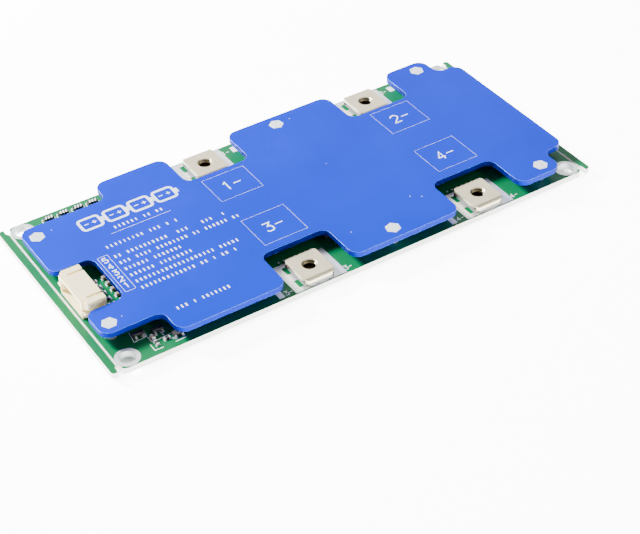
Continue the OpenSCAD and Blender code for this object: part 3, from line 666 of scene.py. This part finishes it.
class BOARD_OT_plate_marks(bpy.types.Operator):
    """Marks the plate: cell outlines, terminal frames, contact numbers and ruled lines"""

    bl_idname = "board.plate_marks"
    bl_label = "Plate marks"

    # Places are in millimetres from the middle of the board.
    # Frames beside the terminals: left, bottom, right and top edge, and the terminal's number
    FRAMES = (
        (-19.8, 5.9, -7.2, 16.6, 1),
        (34.3, 5.9, 46.6, 17.0, 2),
        (-20.0, -15.8, -7.3, -3.9, 3),
        (34.2, -15.3, 46.8, -4.0, 4),
    )
    BOLD = 1.9  # width of the cells' lines, as a share of the mark width
    CELLS = 4
    # A minus and a plus sign, as strokes from the left end of a cell's middle line
    SIGNS = (((1.1, 0), (2.3, 0)), ((3.3, 0), (4.5, 0)), ((3.9, -0.6), (3.9, 0.6)))
    CELL_RULE = ((-49.8, 10.3), (-32.6, 10.3))
    CONTACTS = 5
    CONTACT_FRAME = (-57.4, -12.1, -54.6, 3.3)
    NICKS = (
        (-61.9, 20.3), (14.8, 28.2), (11.6, 4.6), (0.6, -23.6),
        (-62.5, -19.5), (21.5, -19.8), (24.0, -21.6),
    )
    # Rows of dashes: left end, height and right end
    ROWS = (
        (-47.7, 12.2, -34.4),
        (-53.2, 6.0, -33.5),
        (-53.2, 1.5, -21),
        (-53.2, -1.35, -19.5),
        (-53.2, -4.2, -38),
        (-53.2, -7.05, -36.5),
        (-53.2, -9.9, -23.5),
        (-53.2, -12.8, -27),
        (-51.0, -24.4, -34.5),
    )

    def execute(self, context):
        sizes = context.scene.board_sizes
        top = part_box("heat_plate")[1][2]
        span = film_on(top, sizes.film, 0.5)
        shape = bmesh.new()
        self.frames(shape, sizes.mark_width, span)
        self.cells(shape, sizes.mark_width * self.BOLD, span)
        self.contacts(shape, sizes.mark_width, span)
        self.specks(shape, span)
        marks = piece_from("plate_marks", shape, bleached_oxide)
        belong(marks)
        self.dashes(sizes.film, top)
        return {"FINISHED"}

    def frames(self, shape, width, span):
        """A thin frame by each terminal, with a number and a minus bar in it."""
        digit_x, digit_y, digit_h, bar_x0, bar_x1 = 3.6, -1.8, 3.4, 6.6, 8.8
        frame_w, bar_w = width * 0.14, width * 0.85
        for x0, y0, x1, y1, terminal in self.FRAMES:
            trace(shape, [[(x0, y0), (x1, y0), (x1, y1), (x0, y1)]], frame_w, span, closed=True)
            middle_y = (y0 + y1) / 2
            write_digit(shape, terminal, x0 + digit_x, middle_y + digit_y, digit_h, width, span)
            trace(shape, [[(x0 + bar_x0, middle_y), (x0 + bar_x1, middle_y)]], bar_w, span)

    def cells(self, shape, width, span):
        """A row of cells in series, each with its cap and its signs, over a thin rule."""
        cell_l, gap, left, base, high, corner_r = 5.6, 1.6, -55.0, 15.0, 4.6, 0.9
        sign_w, rule_w, cap_from, cap_to = width * 0.4, width * 0.12, base + high * 0.3, base + high * 0.7
        for i in range(self.CELLS):
            x, sign_y = left + i * (cell_l + gap), base + high / 2
            cell = rounded_box(x, base, x + cell_l, base + high, corner_r)
            trace(shape, [cell], width, span, closed=True)
            cap_x = x + cell_l + width / MM
            trace(shape, [[(cap_x, cap_from), (cap_x, cap_to)]], width, span)
            signs = [[(x + dx, sign_y + dy) for dx, dy in line] for line in self.SIGNS]
            trace(shape, signs, sign_w, span)
        trace(shape, [self.CELL_RULE], rule_w, span)

    def contacts(self, shape, width, span):
        """The numbers of the connector's contacts, in a ruled column behind it."""
        x, top_y, pitch, digit_h, corner_r = -56.6, 0.6, 2.85, 1.9, 0.2
        digit_w, frame_w = width * 0.85, width * 0.2
        for i in range(self.CONTACTS):
            write_digit(shape, self.CONTACTS - i, x, top_y - i * pitch, digit_h, digit_w, span)
        trace(shape, [rounded_box(*self.CONTACT_FRAME, corner_r)], frame_w, span, closed=True)

    def specks(self, shape, span):
        """Small pale nicks in the dye."""
        nick_l, nick_slant, nick_w = 0.25, 0.1, 0.16 * MM
        for x, y in self.NICKS:
            trace(shape, [[(x, y), (x + nick_l, y + nick_slant)]], nick_w, span)

    def dashes(self, film, top):
        """Blank data lines, as rows of dashes."""
        ends = [(x * MM, y * MM, top) for x0, y, x1 in self.ROWS for x in (x0, x1)]
        lines = loose_piece("data_lines", ends, [(2 * i, 2 * i + 1) for i in range(len(self.ROWS))])
        values = {
            "Pitch": 1.16 * MM,
            "Dash Length": 0.6 * MM,
            "Dash Height": 1.15 * MM,
            "Shortest": 0.45,
            "Longest": 0.85,
            "Left Out": 0.13,
            "Film": film,
            "Seed": 4,
        }
        grow(lines, "dash rows", values, bleached_oxide, self.dash_rows)
        belong(lines)

    def dash_rows(self, tree, given):
        """Splits each row into dashes of uneven length and leaves some out."""
        rows = add_node(tree, "GeometryNodeMeshToCurve", {"Mesh": given["Geometry"]})
        steps = {"Curve": rows, "Length": given["Pitch"]}
        spots = add_node(tree, "GeometryNodeResampleCurve", steps, mode="LENGTH")
        chance = {"Probability": given["Left Out"], "Seed": given["Seed"]}
        drop = add_node(tree, "FunctionNodeRandomValue", chance, data_type="BOOLEAN").outputs[3]
        left = add_node(tree, "GeometryNodeDeleteGeometry", {"Geometry": spots, "Selection": drop})
        spread = {2: given["Shortest"], 3: given["Longest"], "Seed": given["Seed"]}
        share = add_node(tree, "FunctionNodeRandomValue", spread, data_type="FLOAT").outputs[1]
        long = {0: share, 1: given["Dash Length"]}
        reach = add_node(tree, "ShaderNodeMath", long, operation="MULTIPLY")
        sides = {"X": reach, "Y": given["Dash Height"], "Z": given["Film"]}
        size = add_node(tree, "ShaderNodeCombineXYZ", sides)
        dash = add_node(tree, "GeometryNodeMeshCube", {"Size": (1, 1, 1)})
        dashes = {"Points": left, "Instance": dash, "Scale": size}
        return add_node(tree, "GeometryNodeInstanceOnPoints", dashes)


class BOARD_OT_circuit_board(bpy.types.Operator):
    """Makes the board with its lacquered faces, bare edges and score lines"""

    bl_idname = "board.circuit_board"
    bl_label = "Circuit board"

    # How far from their middle the plated walls by a terminal and by the connector's pins reach
    BY_TERMINAL = 2.6 * MM
    BY_PINS = (1.2 * MM, 6.5 * MM)

    def execute(self, context):
        terminals, pins = [middle(node) for node in TERMINALS], middle("pin_solder")
        recipes = (solder_mask, cut_laminate, tinned_copper)
        board = piece_from("pcb_dressed", merged_copy("pcb"), *recipes)
        for side in board.data.polygons:
            spot = side.center
            flat = abs(side.normal.z) > 0.99
            by_terminal = any((spot - p).xy.length < self.BY_TERMINAL for p in terminals)
            by_pins = all(abs(spot[axis] - pins[axis]) < self.BY_PINS[axis] for axis in (0, 1))
            side.material_index = 0 if flat else 2 if by_terminal or by_pins else 1
        belong(board, ["pcb"])
        dress(tinned_copper, "mount_rings", "terminal_lands")
        return {"FINISHED"}


class BOARD_OT_screen_print(bpy.types.Operator):
    """Prints the white outlines of the small parts and the patches beside the terminals"""

    bl_idname = "board.screen_print"
    bl_label = "Screen print"

    # Places are in millimetres. These outlines are in the front left corner
    FRONT_LINES = (
        ((-62.0, -21.6), (-62.5, -25.2), (-59.0, -25.0), (-58.7, -22.6)),
        ((-59.0, -25.4), (-58.9, -27.4)),
        ((-59.7, -28.0), (-59.7, -30.5), (-57.4, -30.6)),
        ((-55.7, -23.6), (-55.4, -26.9)),
        ((-52.4, -27.1), (-58.4, -27.6)),
        ((-54.1, -30.5), (-51.3, -30.4)),
    )
    # A patch's corner from the middle of its terminal, then the left ends of the terminal's numbers: one
    # from that corner, the other from the middle
    BACK_PRINTS = (10.2, 2.2, -3.0, -10.4)
    FRONT_PRINTS = (-12.0, -5.3, 2.1, 7.6)
    # Behind the connector: two lines, their ends from its middle, and filled spots, from its middle too
    BAY_LINES, BAY_ENDS = (0.0, 0.45), (-4.0, 5.6)
    BAY_SPOTS = (4.0, 2.4, 1.2, -0.2, -2.0)

    def execute(self, context):
        sizes = context.scene.board_sizes
        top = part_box("pcb")[1][2]
        span = film_on(top, sizes.film)
        shape = bmesh.new()
        self.terminal_patches(shape, sizes.print_width, span)
        self.part_outlines(shape, sizes, span)
        ink = piece_from("screen_print", shape, screen_ink)
        belong(ink)
        return {"FINISHED"}

    def terminal_patches(self, shape, width, span):
        """A filled patch beside each terminal, and two numbers with a minus bar."""
        patch_w, patch_l, digit_y, digit_h, bar_x0, bar_x1, bar_y = 1.6, 2.4, 0.3, 1.5, 1.3, 2.1, 1.0
        for terminal, node in enumerate(TERMINALS, 1):
            spot = middle(node) / MM
            aside, along, near, far = self.BACK_PRINTS if "back" in node else self.FRONT_PRINTS
            x, y = spot.x + aside, spot.y + along
            spot_patch(shape, x, y, x + patch_w, y + patch_l, span)
            for left in (x + near, spot.x + far):
                write_digit(shape, terminal, left, y + digit_y, digit_h, width, span)
                trace(shape, [[(left + bar_x0, y + bar_y), (left + bar_x1, y + bar_y)]], width, span)

    def part_outlines(self, shape, sizes, span):
        """Lines in the front left corner, beside the balance transistors and behind the connector."""
        body_w, aside, past, behind = 2.9, 1.75, 0.2, 0.9
        spot_x0, spot_x1, spot_half = 1.0, 1.9, 0.3
        lines = list(self.FRONT_LINES)
        low, high = (Vector(v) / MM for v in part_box("balance_transistors"))
        pitch = (high.x - low.x - body_w) / 3
        for i in range(4):
            x = low.x + body_w / 2 + i * pitch
            for edge in (x - aside, x + aside):
                lines.append([(edge, low.y - past), (edge, high.y + past)])
        back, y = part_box("connector_housing")[1][0] / MM + behind, middle("connector_housing").y / MM
        for step in self.BAY_LINES:
            lines.append([(back + step, y + end) for end in self.BAY_ENDS])
        trace(shape, lines, sizes.print_width, span)
        self.transistor_prints(shape, sizes)
        for step in self.BAY_SPOTS:
            low_y, high_y = y + step - spot_half, y + step + spot_half
            spot_patch(shape, back + spot_x0, low_y, back + spot_x1, high_y, span)

    def transistor_prints(self, shape, sizes):
        """Three bars on the top of each balance transistor, and a line behind it."""
        bodies = merged_copy("balance_transistors")
        width = 1.8 * sizes.print_width
        bar_x, bar_y, pitch, line_x, line_y = 0.2, 0.5, 0.8, 1.6, 0.45
        for low, high in islands(bodies):
            x, y = (low + high).xy / 2 / MM
            starts = [x - pitch, x, x + pitch]
            bars = [[(at - bar_x, y - bar_y), (at + bar_x, y + bar_y)] for at in starts]
            trace(shape, bars, width, film_on(high.z, sizes.film))
            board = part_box("pcb")[1][2]
            line = [(end, high.y / MM + line_y) for end in (x - line_x, x + line_x)]
            trace(shape, [line], width, film_on(board, sizes.film))
        bodies.free()


class BOARD_OT_terminals(bpy.types.Operator):
    """Makes the four screw terminals with their threads and solder"""

    bl_idname = "board.terminals"
    bl_label = "Screw terminals"

    CORE_R = 1.65 * MM  # radius at the threads' crests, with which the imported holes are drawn
    CLOSE = 0.02 * MM  # how far from that radius a vertex of the hole's wall may be
    COLLAR_R = 2.2 * MM  # faces nearer than this to a hole's axis belong to its collar
    # Cut through a solder fillet: out from the leg and up, as shares of its reach
    FILLET = ((-0.2, 0.0), (-0.2, 1.1), (0.0, 1.1), (0.1, 0.62), (0.34, 0.3), (0.66, 0.12), (1.0, 0.0))

    def execute(self, context):
        sizes = context.scene.board_sizes
        for node in TERMINALS:
            shape = merged_copy(node)
            axis = middle(node)
            self.widen_hole(shape, axis, self.CORE_R + sizes.thread_depth)
            recipes = (nickel_plated_strip, heat_stained_nickel)
            piece = piece_from(node + "_dressed", shape, *recipes)
            ease_edges(piece, sizes.terminal_ease)
            for side in piece.data.polygons:
                away, along = side.center - axis, side.normal.y
                inward = abs(along) > 0.7 and along * away.y < 0 and away.xy.length > self.COLLAR_R
                # Faces underneath and the legs' inner faces take the second material, painted shade
                side.material_index = 1 if side.normal.z < -0.3 or inward else 0
            belong(piece, [node])
        self.threads(sizes)
        self.solder(sizes.solder_reach)
        # A dark film under each terminal, painted shade
        self.terminal_shade(sizes.film)
        return {"FINISHED"}

    def widen_hole(self, shape, axis, radius):
        """Moves the tapped hole's wall back to the threads' roots."""
        for v in shape.verts:
            out = (v.co - axis).xy
            if abs(out.length - self.CORE_R) < self.CLOSE:
                wide = out.normalized() * radius
                v.co.x, v.co.y = axis.x + wide.x, axis.y + wide.y

    def threads(self, sizes):
        """One helical ridge in each tapped hole."""
        threaded = 1.6 * MM
        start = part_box(TERMINALS[0])[1][2] - threaded
        places = [(middle(node).x, middle(node).y, start) for node in TERMINALS]
        piece = loose_piece("terminal_threads", places)
        values = {
            "Pitch": sizes.thread_pitch,
            "Turns": 1.9,
            "Root Radius": self.CORE_R + sizes.thread_depth,
            "Depth": sizes.thread_depth,
        }
        grow(piece, "helical thread", values, nickel_plated_strip, self.helix)
        belong(piece)

    def helix(self, tree, given):
        """A ridge of diamond section wound round each point."""
        turns = {0: given["Pitch"], 1: given["Turns"]}
        rise = add_node(tree, "ShaderNodeMath", turns, operation="MULTIPLY")
        winding = {
            "Resolution": 40,
            "Rotations": given["Turns"],
            "Start Radius": given["Root Radius"],
            "End Radius": given["Root Radius"],
            "Height": rise,
        }
        path = add_node(tree, "GeometryNodeCurveSpiral", winding)
        upright = add_node(tree, "GeometryNodeSetCurveNormal", {"Curve": path}, mode="Z_UP")
        diamond = {"Resolution": 4, "Radius": given["Depth"]}
        section = add_node(tree, "GeometryNodeCurvePrimitiveCircle", diamond, mode="RADIUS")
        sweep = {"Curve": upright, "Profile Curve": section, "Fill Caps": True}
        ridge = add_node(tree, "GeometryNodeCurveToMesh", sweep)
        holes = {"Points": given["Geometry"], "Instance": ridge}
        return add_node(tree, "GeometryNodeInstanceOnPoints", holes)

    def solder(self, reach):
        """A hollow fillet along the foot of each leg's outer face."""
        inset = 0.7 * MM
        shape = bmesh.new()
        for node in TERMINALS:
            low, high = (Vector(v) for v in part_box(node))
            for y, way in ((low.y, -1), (high.y, 1)):
                self.fillet(shape, low.x + inset, high.x - inset, y, way, low.z, reach)
        bmesh.ops.recalc_face_normals(shape, faces=shape.faces)
        piece = piece_from("terminal_solder", shape, tinned_copper)
        piece.data.shade_smooth()
        belong(piece)

    def fillet(self, shape, x0, x1, y, way, z, reach):
        """A strip of concave section between two places along X, thinned out at both ends."""
        steps, thinnest = 24, 0.05
        rings = []
        for i in range(steps + 1):
            along = i / steps
            swell = min(1.0, 5 * along, 5 * (1 - along)) ** 0.5
            # Solder flows unevenly, so each fillet swells and thins a little along its leg
            swell *= 1 + 0.12 * math.sin(9 * along + y * 900)
            size = reach * max(thinnest, swell)
            x = x0 + (x1 - x0) * along
            section = [(x, y + way * size * out, z + size * up) for out, up in self.FILLET]
            rings.append([shape.verts.new(spot) for spot in section])
        for ring, following in zip(rings, rings[1:]):
            join_rings(shape, ring, following)
        shape.faces.new(rings[0][::-1])
        shape.faces.new(rings[-1])

    def terminal_shade(self, film):
        """A dark film on each land, between the terminal's legs: painted shade under the terminal."""
        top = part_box("terminal_lands")[1][2]
        inset = Vector((1.0 * MM, 1.8 * MM))
        shape = bmesh.new()
        for node in TERMINALS:
            low, high = (Vector(v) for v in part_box(node))
            patch(shape, *(low.xy + inset), *(high.xy - inset), *film_on(top, film))
        piece = piece_from("rosin_film", shape, rosin_film)
        belong(piece)


class BOARD_OT_connector(bpy.types.Operator):
    """Makes the side-entry connector for the balance leads"""

    bl_idname = "board.connector"
    bl_label = "Lead connector"

    def execute(self, context):
        shape = merged_copy("connector_housing")
        housing = piece_from("connector_housing_dressed", shape, moulded_nylon)
        ease_edges(housing, context.scene.board_sizes.housing_ease, 2)
        belong(housing, ["connector_housing"])
        dress(tinned_copper, "connector_pins", "pin_solder")
        return {"FINISHED"}


class BOARD_OT_standoffs(bpy.types.Operator):
    """Makes the clinched standoffs and finishes their screws"""

    bl_idname = "board.standoffs"
    bl_label = "Standoffs"

    def execute(self, context):
        studs = piece_from("standoffs_dressed", merged_copy("standoffs"), zinc_plated_steel)
        ease_edges(studs, context.scene.board_sizes.stud_ease, 2)
        belong(studs, ["standoffs"])
        dress(zinc_plated_steel, "standoff_screws")
        return {"FINISHED"}


class BOARD_OT_small_parts(bpy.types.Operator):
    """Finishes the transistors, chips, resistors, shunts and thermal pads, and lays pads and vias"""

    bl_idname = "board.small_parts"
    bl_label = "Small parts"

    EPOXY = (
        "fet_bodies_back", "fet_bodies_front", "protection_chip", "balance_transistors",
        "gate_transistors", "balance_resistors", "sense_resistors",
    )
    TIN = (
        "fet_frames_back", "fet_frames_front", "protection_chip_leads", "balance_transistor_leads",
        "balance_resistor_ends", "gate_transistor_leads", "sense_resistor_ends", "sense_capacitor_ends",
    )
    # Middles of the bare pads in the front left corner, in millimetres, and half their sides
    TEST_PADS = (
        (-60.3, -22.4), (-59.9, -24.2), (-61.5, -24.4), (-54.9, -24.8), (-58.1, -29.0), (-53.9, -29.1),
    )
    TEST_PAD = (0.3, 0.25)
    VIAS = 7  # beside each terminal
    # A via's crown: each measure as a share of an input
    CROWN = (
        ("Radius Bottom", "Diameter", 0.5),
        ("Radius Top", "Diameter", 0.3),
        ("Depth", "Film", 3.0),
    )

    def execute(self, context):
        sizes = context.scene.board_sizes
        dress(moulded_epoxy, *self.EPOXY)
        dress(tinned_copper, *self.TIN)
        dress(fired_ceramic, "sense_capacitors")
        dress(resistance_alloy, "current_shunts")
        dress(silicone_gap_filler, "thermal_pad_back", "thermal_pad_front")
        self.pads(sizes)
        self.vias(sizes)
        return {"FINISHED"}

    def pads(self, sizes):
        """A solder pad round the foot of each lead and end, and bare pads in the front corner."""
        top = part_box("pcb")[1][2]
        span = film_on(top, sizes.film)
        margin = Vector((sizes.pad_margin, sizes.pad_margin))
        shape = bmesh.new()
        for node in self.TIN:
            source = merged_copy(node)
            for low, high in islands(source):
                if low.z < top + 2 * sizes.film:
                    patch(shape, *(low.xy - margin), *(high.xy + margin), *span)
            source.free()
        half_l, half_w = self.TEST_PAD
        for x, y in self.TEST_PADS:
            spot_patch(shape, x - half_l, y - half_w, x + half_l, y + half_w, span)
        piece = piece_from("solder_pads", shape, tinned_copper)
        belong(piece)

    def vias(self, sizes):
        """Rows of plated vias beside the terminals' lands."""
        pitch, aside = 1.6, 6.9 * MM
        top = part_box("pcb")[1][2]
        places = []
        for node in TERMINALS:
            spot = middle(node)
            toward = -1 if "back" in node else 1
            for i in range(self.VIAS):
                x = spot.x + (i - self.VIAS // 2) * pitch * MM
                places.append((x, spot.y + toward * aside, top))
        piece = loose_piece("vias", places)
        values = {"Diameter": sizes.via_size, "Film": sizes.film}
        grow(piece, "via crowns", values, tinned_copper, self.via_crowns)
        belong(piece)

    def via_crowns(self, tree, given):
        """A low dome on each point, where solder fills the via."""
        sides = {"Vertices": 16}
        for side, source, share in self.CROWN:
            product = {0: given[source], 1: share}
            sides[side] = add_node(tree, "ShaderNodeMath", product, operation="MULTIPLY")
        dome = add_node(tree, "GeometryNodeMeshCone", sides)
        domes = {"Points": given["Geometry"], "Instance": dome}
        return add_node(tree, "GeometryNodeInstanceOnPoints", domes)


class BOARD_OT_studio(bpy.types.Operator):
    """Sets up the floor, the lights and the camera"""

    bl_idname = "board.studio"
    bl_label = "Studio"

    # Each lamp's name, place and width in metres, and the setting that holds its power
    LAMPS = (
        ("key_light", (-0.34, 0.48, 0.42), 0.16, "key"),
        ("soft_box", (0.44, 0.73, 0.70), 1.0, "soft"),
        ("edge_light", (0.32, -0.51, 0.53), 0.2, "edge"),
    )
    FLOOR = 3.0  # half the floor's side
    SENSOR = 36  # width in millimetres

    def execute(self, context):
        scene = context.scene
        studio = scene.board_studio
        self.floor(studio)
        self.surroundings(scene, studio)
        for name, place, width, power in self.LAMPS:
            self.lamp(name, place, width, getattr(studio, power))
        self.camera(scene, studio)
        return {"FINISHED"}

    def floor(self, studio):
        """A wide pale field under the board."""
        shape = bmesh.new()
        bmesh.ops.create_grid(shape, x_segments=8, y_segments=8, size=self.FLOOR)
        floor = piece_from("floor", shape)
        floor.data.materials.append(lit_floor(studio))

    def surroundings(self, scene, studio):
        """Even white light from all round."""
        world = bpy.data.worlds.new("white_surroundings")
        world.use_nodes = True
        tree = world.node_tree
        tree.nodes.clear()
        light = {"Color": (1, 1, 1, 1), "Strength": studio.sky}
        glow = add_node(tree, "ShaderNodeBackground", light)
        add_node(tree, "ShaderNodeOutputWorld", {"Surface": glow})
        scene.world = world

    def lamp(self, name, place, size, power):
        """A square soft box that faces the board."""
        data = bpy.data.lights.new(name, "AREA")
        data.energy = power
        data.size = size
        lamp = new_object(name, data)
        lamp.location = place
        lamp.rotation_euler = (-Vector(place)).to_track_quat("-Z", "Y").to_euler()

    def camera(self, scene, studio):
        """A long lens, placed from the middle of the plate's top."""
        data = bpy.data.cameras.new("camera")
        data.lens = studio.focal
        data.sensor_width = self.SENSOR
        data.shift_x = studio.frame_shift
        a, e = studio.azimuth, studio.elevation
        right = Vector((math.cos(a), math.sin(a), 0))
        back = Vector((math.sin(a) * math.cos(e), -math.cos(a) * math.cos(e), math.sin(e)))
        axes = Matrix((right, back.cross(right), back)).transposed()
        turn = axes @ Matrix.Rotation(studio.roll, 3, "Z")
        anchor = Vector((0, 0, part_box("heat_plate")[1][2]))
        place = anchor + turn @ Vector((-studio.aside, -studio.below, studio.distance))
        scene.camera = new_object("camera", data)
        scene.camera.matrix_world = Matrix.Translation(place) @ turn.to_4x4()


class BOARD_PT_panel(bpy.types.Panel):
    """Lists the board's pieces and their settings"""

    bl_label = "Battery management board"
    bl_idname = "BOARD_PT_panel"
    bl_space_type = "VIEW_3D"
    bl_region_type = "UI"
    bl_category = "Board"

    def draw(self, context):
        for maker in OPERATORS:
            self.layout.operator(maker.bl_idname)
        for key in GROUPS:
            box, group = self.layout.box(), getattr(context.scene, key)
            for name in group.__annotations__:
                box.prop(group, name)


GROUPS = {"board_sizes": BoardSizes, "board_colours": BoardColours, "board_studio": StudioSettings}
OPERATORS = (
    BOARD_OT_studio,
    BOARD_OT_heat_plate,
    BOARD_OT_plate_marks,
    BOARD_OT_circuit_board,
    BOARD_OT_screen_print,
    BOARD_OT_terminals,
    BOARD_OT_connector,
    BOARD_OT_standoffs,
    BOARD_OT_small_parts,
)


def register():
    """Registers the add-on's classes and hangs its settings on the scene."""
    for group in (*GROUPS.values(), *OPERATORS, BOARD_PT_panel):
        bpy.utils.register_class(group)
    for name, group in GROUPS.items():
        setattr(bpy.types.Scene, name, bpy.props.PointerProperty(type=group))


def unregister():
    """Takes the settings and classes away again."""
    for name in GROUPS:
        delattr(bpy.types.Scene, name)
    for group in (BOARD_PT_panel, *reversed(OPERATORS), *reversed(GROUPS.values())):
        bpy.utils.unregister_class(group)


def main():
    """Makes every piece in order."""
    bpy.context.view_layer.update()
    register()
    for maker in OPERATORS:
        group, name = maker.bl_idname.split(".")
        getattr(getattr(bpy.ops, group), name)()


if __name__ == "__main__":
    main()
